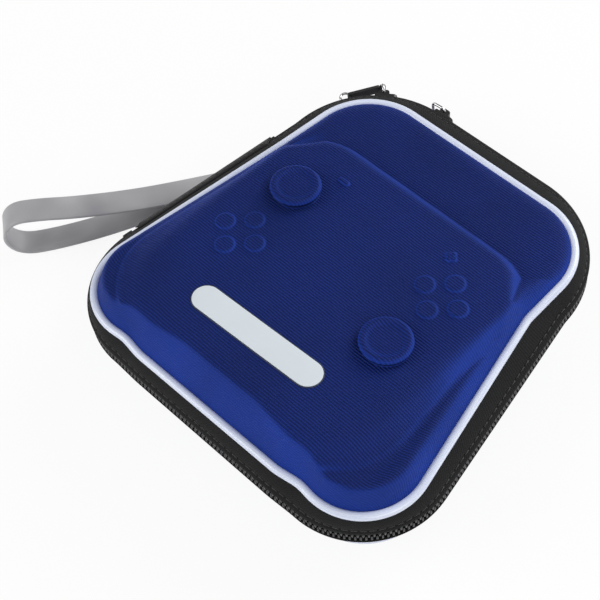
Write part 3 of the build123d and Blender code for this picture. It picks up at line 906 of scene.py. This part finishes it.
hollows = {  # inset, how far the foot and the top stand out of the inner wall, shoulder in the lid
    "shell": (3.1, 0.1, 0.2, 5.2),
    "liningOuter": (3.15, 0.0, 0.15, 5.15),
    "liningInner": (3.7, 0.0, -0.4, 5.0),
}
innerWalls = {  # levels of the foot and the top, how much broader the shoulder is
    True: ((lid["seam"][0] - 1.0, lid["seam"][1]), (lid["panel"][0] - lid["wall"], lid["panel"][1]), 0.0),
    False: ((1.0 - baseForm["seamDrop"], 0.0), (baseForm["wall"] - zipPlane, 0.0), 6.0),
}
baseSteps = {
    "foot": ((2.3, 0.9), (1.6, 0.6), (1.3, 0.1)),
    "round": 14,
    "inner": (0.9, 0.75, 0.6, 0.45, 0.3, 0.15, 0.05),
    "mapMiddle": Vector((0, 0.008, 0)),
    "mapWall": 0.75,
}


def domeRings(inset, foot, top, shoulder, steps, shares):
    # rings that turn in from a wall, and then draw in to the middle over a flat
    rings = []
    for k in range(steps + 1):
        angle = math.radians(90 * k / steps)
        level = [low + (high - low) * math.sin(angle) for low, high in zip(foot, top)]
        rings.append(atLevel(loopPoints("piping", inset + shoulder * (1 - math.cos(angle))), level))
    edge = rings[-1]
    middle = sum(edge, Vector()) / len(edge)
    return rings + [[middle.lerp(p, share) for p in edge] for share in shares]


def hollowRings(kind, up):
    inset, footOut, topOut, shoulder = hollows[kind]
    foot, top, broader = innerWalls[up]
    sign = 1 if up else -1
    foot, top = (foot[0] + sign * footOut, foot[1]), (top[0] + sign * topOut, top[1])
    return domeRings(inset, foot, top, shoulder + broader, 8, (0.85, 0.65, 0.45, 0.25, 0.08))


def liningSkin(up):
    return skinRings(hollowRings("liningOuter", up)[::-1] + hollowRings("liningInner", up))


def baseSkin():
    # the same order as the lid's: inner wall, foot under the piping, outer skin, flat underside
    rings = hollowRings("shell", False)[::-1]
    rings += [seamRing(inset, False, rise) for inset, rise in baseSteps["foot"]]
    foot, floor = (-baseForm["seamDrop"] - baseForm["cornerLift"], 0.0), (-zipPlane, 0.0)
    outer = (lid["seamInset"], foot, floor, baseForm["shoulder"], baseSteps["round"], baseSteps["inner"])
    bm = skinRings(rings + domeRings(*outer))
    layer = bm.loops.layers.uv.active
    for face in bm.faces:  # the cloth runs on from the flat underside up the walls
        for loop in face.loops:
            co = loop.vert.co
            away = ((co + baseSteps["mapMiddle"]) * Vector((1, 1, 0))).normalized()
            loop[layer].uv = (co + away * (max(0.0, co.z) * baseSteps["mapWall"])).xy
    return bm


lidBody = lidSkin(hollowRings("shell", True))
for skin in reliefSkins():
    addMesh(lidBody, skin)
spreadOnMap(lidBody, clothMap())
baseBody = baseSkin()
for (side, up), body in zip(halves, (lidBody, baseBody)):
    markPaintedSlopeShading(body)
    addPiece(side + "Shell", body, side, "blue_fabric", "blue", side + "_shell")
    addPiece(side + "Lining", liningSkin(up), side, "black_fabric", "lining")
print("case: lid and base moulded")

# piping and black bands, mm

piping = {"radius": 1.6, "sides": 14}
band = {
    "edgeLift": 3.0,
    "profile": [  # share of the way from the zip to the piping, and how far out
        (0.02, -1.9), (0.0, -1.5), (-0.02, -0.7), (-0.015, -0.1), (0.02, 0.22), (0.08, 0.34),
        (0.14, 0.25), (0.185, -0.12), (0.21, -0.2), (0.235, -0.12), (0.28, 0.28), (0.38, 0.52),
        (0.52, 0.62), (0.68, 0.56), (0.82, 0.3), (0.93, -0.05), (1.0, -0.6), (1.0, -1.9),
    ],
}


def pipingSkin(up):
    rounds = [unit(math.tau * k / piping["sides"]) * piping["radius"] for k in range(piping["sides"])]
    return skinRings([seamRing(-spot.x, up, spot.y) for spot in rounds], closeProfile=True)


def bandRing(share, out, up):
    low = zipPlane + (band["edgeLift"] if up else -band["edgeLift"])
    ring = []
    for a, b in zip(loopPoints("zip", -out), loopPoints("piping", -out)):
        p = a.lerp(b, share)
        ring.append(Vector((p.x, p.y, low + (tiltedHeight(seams[up], b.y) - low) * share)) * mm)
    return ring


for side, up in halves:
    addPiece(side + "Piping", pipingSkin(up), side, "white_piping", "piping", side + "_piping")
    strip = skinRings([bandRing(share, out, up) for share, out in band["profile"]], closeProfile=True)
    addPiece(side + "Band", strip, side, "black_fabric", "band", side + "_side_band")
print("case: piping and bands made")

# zipper teeth and stitches, copies of one shape along a line

chain = {
    "pitch": 1.85,
    "width": 1.02,
    "depth": 1.5,
    "reach": 2.35,
    "overlap": 0.35,
    "bevel": 0.26,
    "tip": (0.72, 0.8, 1.0),
}
stitch = {"pitch": 3.1, "length": 2.3, "width": 0.42, "bevel": 0.126, "share": 0.21, "out": 0.02}
hinge = {
    "point": (-75.6009, -7.66782),
    "along": (0.150991, 0.988535),
    "length": 62.0,
    "gap": 1.0,
    "depth": 12.0,
}


def spacedAlong(line, pitch, start=0.0):
    # even places along a closed line, with the direction there
    points = line + line[:1]
    lengths = [(b - a).length for a, b in zip(points, points[1:])]
    count = round(sum(lengths) / pitch)
    step, places, gone, i = sum(lengths) / count, [], 0.0, 0
    for k in range(count):
        want = (k + start) * step
        while i < len(lengths) - 1 and gone + lengths[i] < want:
            gone += lengths[i]
            i += 1
        run = points[i + 1] - points[i]
        places.append((points[i] + run * ((want - gone) / lengths[i]), run.normalized()))
    return places


def copyShape(shape, places):
    mesh = bpy.data.meshes.new("oneShape")
    shape.to_mesh(mesh)
    shape.free()
    bm = bmesh.new()
    for place in places:
        known = len(bm.verts)
        bm.from_mesh(mesh)
        bm.verts.ensure_lookup_table()
        bmesh.ops.transform(bm, matrix=place, verts=bm.verts[known:])
    bpy.data.meshes.remove(mesh)
    return bm


def block(length, width, height):
    bm = bmesh.new()
    bmesh.ops.create_cube(bm, size=1.0)
    bmesh.ops.scale(bm, vec=Vector((length, width, height)) * mm, verts=bm.verts)
    return bm


def bevelled(bm, width, segments):
    bmesh.ops.bevel(bm, geom=bm.edges[:], offset=width * mm, offset_type="OFFSET", segments=segments,
                    profile=0.5, affect="EDGES", material=-1)
    return bm


def toothShape(up):
    bm = block(chain["width"], chain["depth"], chain["reach"] + chain["overlap"])
    bmesh.ops.scale(bm, vec=chain["tip"], verts=[v for v in bm.verts if v.co.z < 0])
    bevelled(bm, chain["bevel"], 2)
    shift = Vector((0, -chain["depth"], chain["reach"] - chain["overlap"])) / 2 * mm
    bmesh.ops.translate(bm, vec=shift, verts=bm.verts)
    if not up:
        bmesh.ops.rotate(bm, matrix=Matrix.Rotation(math.pi, 3, "Y"), verts=bm.verts)
    return bm


def stitchShape():
    return bevelled(block(stitch["length"], stitch["width"], stitch["width"]), stitch["bevel"], 1)


def byHinge(point, margin=0.0):
    # near the hinge's axis, and within its length with a margin at both ends
    offset, along = point.xy / mm - Vector(hinge["point"]), Vector(hinge["along"])
    if abs(offset.cross(along)) > hinge["depth"]:
        return False
    return abs(offset.dot(along)) <= hinge["length"] / 2 + margin


def frameAt(point, ahead):
    x, out = ahead.normalized(), Vector((-ahead.y, ahead.x, 0)).normalized()
    return Matrix.Translation(point) @ Matrix([x, out, x.cross(out)]).transposed().to_4x4()


zipLine = atLevel(loopPoints("zip", 0.0), (0.0, 0.0))
for side, up in halves:
    spots = spacedAlong(zipLine, chain["pitch"] * mm, 0.0 if up else 0.5)
    teeth = copyShape(toothShape(up), [frameAt(p, d) for p, d in spots if not byHinge(p, hinge["gap"])])
    addPiece(side + "ZipTeeth", teeth, side, "black_coil", "teeth", side + "_zip_coil")
for side, up in halves:
    spots = spacedAlong(bandRing(stitch["share"], stitch["out"], up), stitch["pitch"] * mm)
    threads = copyShape(stitchShape(), [frameAt(p, d) for p, d in spots])
    addPiece(side + "Stitches", threads, side, "black_tape", "thread")
print("case: zipper teeth and stitches made")

# label on the lid, mm

label = {
    "length": 57.0,
    "width": 10.4,
    "place": (0.0, -48.6),
    "turn": 2.3,
    "profile": [(0.0, -0.3), (0.0, 0.315), (-0.08, 0.4185), (-0.25, 0.45), (-1.5, 0.45), (-3.4, 0.45)],
    "edgeProfile": [(0.5, -0.2), (0.45, 0.08), (0.25, 0.2), (0.0, 0.24), (-0.3, 0.2), (-0.3, -0.2)],
}


def labelRings(profile):
    half, turn = (label["length"] - label["width"]) / 2, math.radians(label["turn"])
    outline = partial(stadium, label["place"], turn, half, arcSteps=24, lineSteps=16)
    return [lift(outline(radius=label["width"] / 2 + grow), rise) for grow, rise in profile]


addPiece("labelPatch", skinRings(labelRings(label["profile"])), "lid", "white_label", "label", "label_patch")
labelRim = skinRings(labelRings(label["edgeProfile"]), closeProfile=True)
addPiece("labelEdge", labelRim, "lid", "blue_fabric", "labelEdge")
print("case: label made")

# tapes inside the seams, and the cloth hinge, mm

tape = {"inset": 2.1, "thickness": 0.8, "reach": 0.35, "zipGap": 0.45}
binding = {"inset": 1.8, "thickness": 0.8, "lift": 0.3, "height": 6.0}
spine = {
    "shares": (0.33, 0.24, 0.16, 0.08, 0.0, -0.2, -0.4, -0.6, -0.8, -1.0),
    "edgeShare": 0.355,
    "inner": 0.5,
    "outer": 1.5,
    "stitchShare": 0.24,
    "bendFrom": 21.3,
    "bendTo": 26.7,
}


def wallRing(share, out, up):
    # as bandRing, and below zero straight down from the band's edge to the zip
    if share >= 0:
        return bandRing(share, out, up)
    rise = band["edgeLift"] + share * (band["edgeLift"] - tape["zipGap"])
    return atLevel(loopPoints("zip", -out), (rise if up else -rise, 0.0))


def openAtHinge(bm):
    gone = [face for face in bm.faces if byHinge(face.calc_center_median(), hinge["gap"])]
    bmesh.ops.delete(bm, geom=gone, context="FACES")
    bmesh.ops.holes_fill(bm, edges=[edge for edge in bm.edges if edge.is_boundary], sides=0)
    return bm


def zipTapeSkin(up):
    near, reach = -tape["inset"], tape["reach"]
    far = near - tape["thickness"]
    middle = (near + far) / 2
    shares = (-0.97, -0.5, 0.0, reach / 2, reach)
    path = [(share, near) for share in shares] + [(reach * 1.04, middle)]
    path += [(share, far) for share in shares[::-1]] + [(-1.0, middle)]
    return openAtHinge(skinRings([wallRing(share, out, up) for share, out in path], closeProfile=True))


def bindingSkin(up):
    sign = -1 if up else 1
    near = -binding["inset"]
    far = near - binding["thickness"]
    start, end = sign * binding["lift"], sign * (binding["lift"] + binding["height"])
    low, middle = start * 0.5 + end * 0.08, (start + end) / 2
    lean = [(near - 0.1, start), (near, low), (near, middle), (near, end * 0.96), (near - 0.2, end)]
    lean += [(far + 0.2, end), (far, end * 0.95), (far - 0.12, middle), (far, low), (far + 0.1, start)]
    return skinRings([seamRing(-out, up, rise) for out, rise in lean], closeProfile=True)


def spineSkin():
    # rings across the whole strip, outer face and back along the inner face
    inner, outer, shares = spine["inner"], spine["outer"], spine["shares"]
    path = [(share, False) for share in shares] + [(share, True) for share in shares[::-1]]
    edges = [wallRing(spine["edgeShare"], (inner + outer) / 2, up) for up in (True, False)]
    rings = [wallRing(share, outer, up) for share, up in path] + edges[:1]
    rings += [wallRing(share, inner, up) for share, up in path[::-1]] + edges[1:]
    return skinRings([[ring[i] for ring in rings] for i, p in enumerate(rings[0]) if byHinge(p)])


def hingeStitches(up):
    line = wallRing(spine["stitchShare"], spine["outer"] + stitch["out"], up)
    spots = spacedAlong(line, stitch["pitch"] * mm)
    return copyShape(stitchShape(), [frameAt(p, d) for p, d in spots if byHinge(p, -hinge["gap"])])


for side, up in halves:
    addPiece(side + "ZipTape", zipTapeSkin(up), side, "black_tape", "tape", side + "_zip_tape")
    addPiece(side + "SeamBinding", bindingSkin(up), side, "black_tape", "binding", side + "_seam_binding")
    addPiece(side + "HingeStitches", hingeStitches(up), side, "black_tape", "thread")
clothHinge = addPiece("clothHinge", spineSkin(), None, "black_tape", "tape", "hinge_spine")
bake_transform(clothHinge)
print("case: tapes and cloth hinge made")

# net pocket in the lid, and the elastic over the tray, mm

ruffleWave = 1.55
pocket = {
    "inset": 2.9,
    "mouth": -8.0,
    "height": 29.4,
    "thick": 0.4,
    "gather": 0.28,
    "gatherFade": 9,
    "sag": 1.1,
    "rows": 44,
    "columns": 96,
}
mouthElastic = {"near": -8.3, "far": -4.5, "height": 29.4, "thick": 1.3, "ruffle": 0.22, "columns": 150}
retainer = {"near": -17.0, "far": 5.0, "height": 19.4, "thick": 1.1, "ruffle": 0.06, "columns": 60}


def sideLimits(levels):
    # the inside of the case from left to right at each value of y
    line = loopPoints("piping", pocket["inset"])
    limits = []
    for y in levels:
        cuts = [0.0]
        for a, b in zip(line, line[1:] + line[:1]):
            if (a.y - y) * (b.y - y) <= 0 and a.y != b.y:
                cuts.append(a.x + (b.x - a.x) * (y - a.y) / (b.y - a.y))
        limits.append((min(cuts), max(cuts)))
    return limits


def crossRibbon(cut):
    # a band from side to side with rolled edges and small ruffles
    half = [(0.015, 0.8), (0.06, 1.0), (0.28, 0.86), (0.5, 0.82), (0.72, 0.86), (0.94, 1.0), (0.985, 0.8)]
    profile = [(0.0, 0.0)] + half + [(1.0, 0.0)] + [(share, -rise) for share, rise in half[::-1]]
    levels = [cut["near"] + (cut["far"] - cut["near"]) * share for share, _ in profile]
    limits = sideLimits(levels)
    rings = []
    for k in range(cut["columns"] + 1):
        across = 2 * k / cut["columns"] - 1
        ring = []
        for (_, rise), y, (left, right) in zip(profile, levels, limits):
            x = left + (right - left) * (across + 1) / 2
            wave = math.sin(x * ruffleWave) + 0.5 * math.sin(x * 3.7 + y)
            ruffle = cut["ruffle"] * wave * (1 - across ** 8)
            ring.append(Vector((x, y, cut["height"] + rise * cut["thick"] / 2 + ruffle)) * mm)
        rings.append(ring)
    return skinRings(rings)


def netSkin():
    # gathered at its mouth, sagging a little in the middle
    rows, mouth = pocket["rows"], pocket["mouth"]
    deep = mouth - min(p.y for p in loopPoints("piping", pocket["inset"])) - 0.02
    levels = [mouth - deep * (k / rows) ** 0.9 for k in range(rows + 1)]
    limits = sideLimits(levels)
    bm = bmesh.new()
    bmesh.ops.create_grid(bm, x_segments=pocket["columns"], y_segments=rows, size=0.5)
    layer = bm.loops.layers.uv.new("UVMap")
    for vert in bm.verts:
        row = round((0.5 - vert.co.y) * rows)
        across = 2 * vert.co.x
        left, right = limits[row]
        y, x = levels[row], left + (right - left) * (across + 1) / 2
        down = (mouth - y) / deep
        gather = pocket["gather"] * math.sin(x * ruffleWave) * (1 - across ** 8)
        gather *= math.exp(-down * pocket["gatherFade"])
        sag = pocket["sag"] * (1 - across ** 4) * math.sin(math.pi * min(1.0, down * 1.02)) ** 1.2
        vert.co = Vector((x, y, pocket["height"] + gather - sag)) * mm
    for face in bm.faces:
        for loop in face.loops:
            loop[layer].uv = loop.vert.co.xy
    return bm


pocketNet = addPiece("pocketNet", netSkin(), "lid", "net", "net", "mesh_pocket")
wall = pocketNet.modifiers.new("netThickness", "SOLIDIFY")
wall.thickness = pocket["thick"] * mm
wall.offset = 0
pocketHem = addPiece("pocketHem", crossRibbon(mouthElastic), "lid", "elastic", "elastic", "pocket_elastic")
addPiece("trayBand", crossRibbon(retainer), "base", "elastic", "elastic", "retaining_strap")
print("case: pocket and tray band made")

# stitched tab that holds the hand strap, mm

anchor = {
    "width": 13.0,
    "height": 3.4,
    "level": 16.9,
    "sides": 32,
    "stations": (  # place along the strap, and shares of the height and the width there
        (-13.0, 0.9, 0.95), (-10.0, 0.95, 1.0), (-8.0, 0.93, 1.0), (-6.9, 0.9, 1.0), (-6.2, 0.84, 1.0),
        (-5.5, 0.9, 1.0), (-4.2, 0.95, 1.0), (-2.9, 0.9, 1.0), (-2.2, 0.82, 1.0), (-1.5, 0.88, 1.0),
        (-0.7, 0.84, 0.985), (-0.2, 0.7, 0.97), (0.1, 0.45, 0.95),
    ),
    "rows": (-2.2, -6.2),
    "stitchPitch": 2.45,
    "stitchScale": 0.8,
}


def anchorPlace(s, side, rise):
    return strapPlace(s, anchor["level"] + rise) + strapAcross * (side * mm)


def squarish(value, power):
    return math.copysign(abs(value) ** power, value)


def anchorSkin():
    # folded tape, pressed flat where it is sewn and fuller at its folded end
    rings = []
    for s, full, wide in anchor["stations"]:
        ring = []
        for k in range(anchor["sides"]):
            spot = unit(math.tau * k / anchor["sides"])
            side = squarish(spot.x, 0.28) * anchor["width"] / 2 * wide
            rise = squarish(spot.y, 0.5) * anchor["height"] / 2 * full
            ring.append(anchorPlace(s, side, rise))
        rings.append(ring)
    return skinRings(rings)


def anchorStitches():
    turn = strapAcross.to_track_quat("X", "Z").to_matrix().to_4x4() @ Matrix.Scale(anchor["stitchScale"], 4)
    places = []
    for s in anchor["rows"]:
        for k in range(-2, 3):
            for rise in (1, -1):
                point = anchorPlace(s, k * anchor["stitchPitch"], rise * anchor["height"] / 2 * 0.84)
                places.append(Matrix.Translation(point) @ turn)
    return copyShape(stitchShape(), places)


addPiece("anchorTab", anchorSkin(), "base", "black_tape", "tapeOnMap", "strap_anchor_tab")
addPiece("anchorStitches", anchorStitches(), "base", "black_tape", "thread")
print("case: anchor tab made")

# CAD nodes that stay, with finishes of their own

kept = {
    "enamel": ("lid_zip_stops", "base_zip_stops", "left_slider", "right_slider"),
    "metal": ("left_bail", "right_bail", "left_pull_ring", "right_pull_ring"),
    "rubber": ("left_pull_tab", "right_pull_tab"),
}
for finish, nodes in kept.items():
    for node in nodes:
        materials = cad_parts[node].data.materials
        materials.clear()
        materials.append(finishes[finish])
print("case: kept nodes finished")
